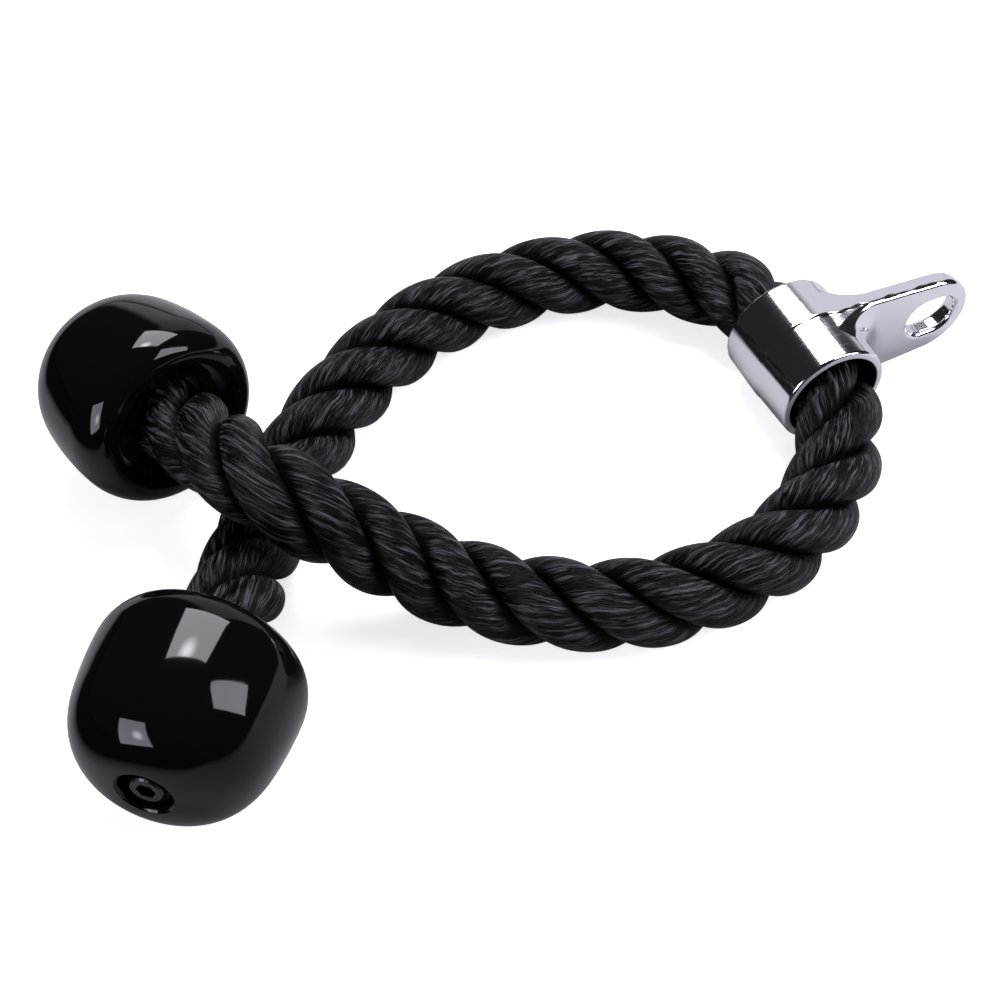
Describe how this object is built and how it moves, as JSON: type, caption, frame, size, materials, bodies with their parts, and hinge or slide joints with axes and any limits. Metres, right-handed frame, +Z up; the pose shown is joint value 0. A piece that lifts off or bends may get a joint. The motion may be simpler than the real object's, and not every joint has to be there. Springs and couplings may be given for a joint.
{
  "type": "triceps rope attachment",
  "caption": "Cable machine rope attachment: thick laid rope through a cast eye sleeve, with a round screwed-on stopper at each end.",
  "frame": {"origin": "on the table, under the middle of the box round the sleeve and the two stoppers", "axes": "+X from the stoppers to the eye, the way the cable pulls; +Y along the sleeve's bore towards the lower arm; +Z up from the table"},
  "size_m": [0.3196, 0.1769, 0.062],
  "materials": {
    "bright_chrome": "polished chrome plate on a cast sleeve",
    "black_rope": "silky black fibre, laid in strands",
    "glossy_black": "smooth glossy black moulding",
    "black_oxide": "black oxide screw steel",
    "zinc_washer": "zinc-plated steel",
    "steel_ferrule": "plain turned steel"
  },
  "bodies": {
    "lower_arm": {"rope_lower_arm": "black_rope", "rope_middle": "black_rope", "lower_rope_end": "black_rope", "lower_stopper": "glossy_black", "lower_screw": "black_oxide", "lower_washer": "zinc_washer", "lower_ferrule": "steel_ferrule"},
    "upper_arm": {"rope_upper_arm": "black_rope", "upper_rope_end": "black_rope", "upper_stopper": "glossy_black", "upper_screw": "black_oxide", "upper_washer": "zinc_washer", "upper_ferrule": "steel_ferrule"},
    "sleeve": {"eye_sleeve": "bright_chrome"}
  },
  "joints": [
    {"name": "sleeve_swivel", "type": "hinge", "parent": "lower_arm", "child": "sleeve", "pos_m": [0.0975, -0.0079, 0.0194], "axis": [0, 1, 0], "continuous": true},
    {"name": "upper_arm_lift", "type": "hinge", "parent": "lower_arm", "child": "upper_arm", "pos_m": [0.0975, -0.0079, 0.0182], "axis": [0, 1, 0], "range_deg": [0, 90]}
  ]
}
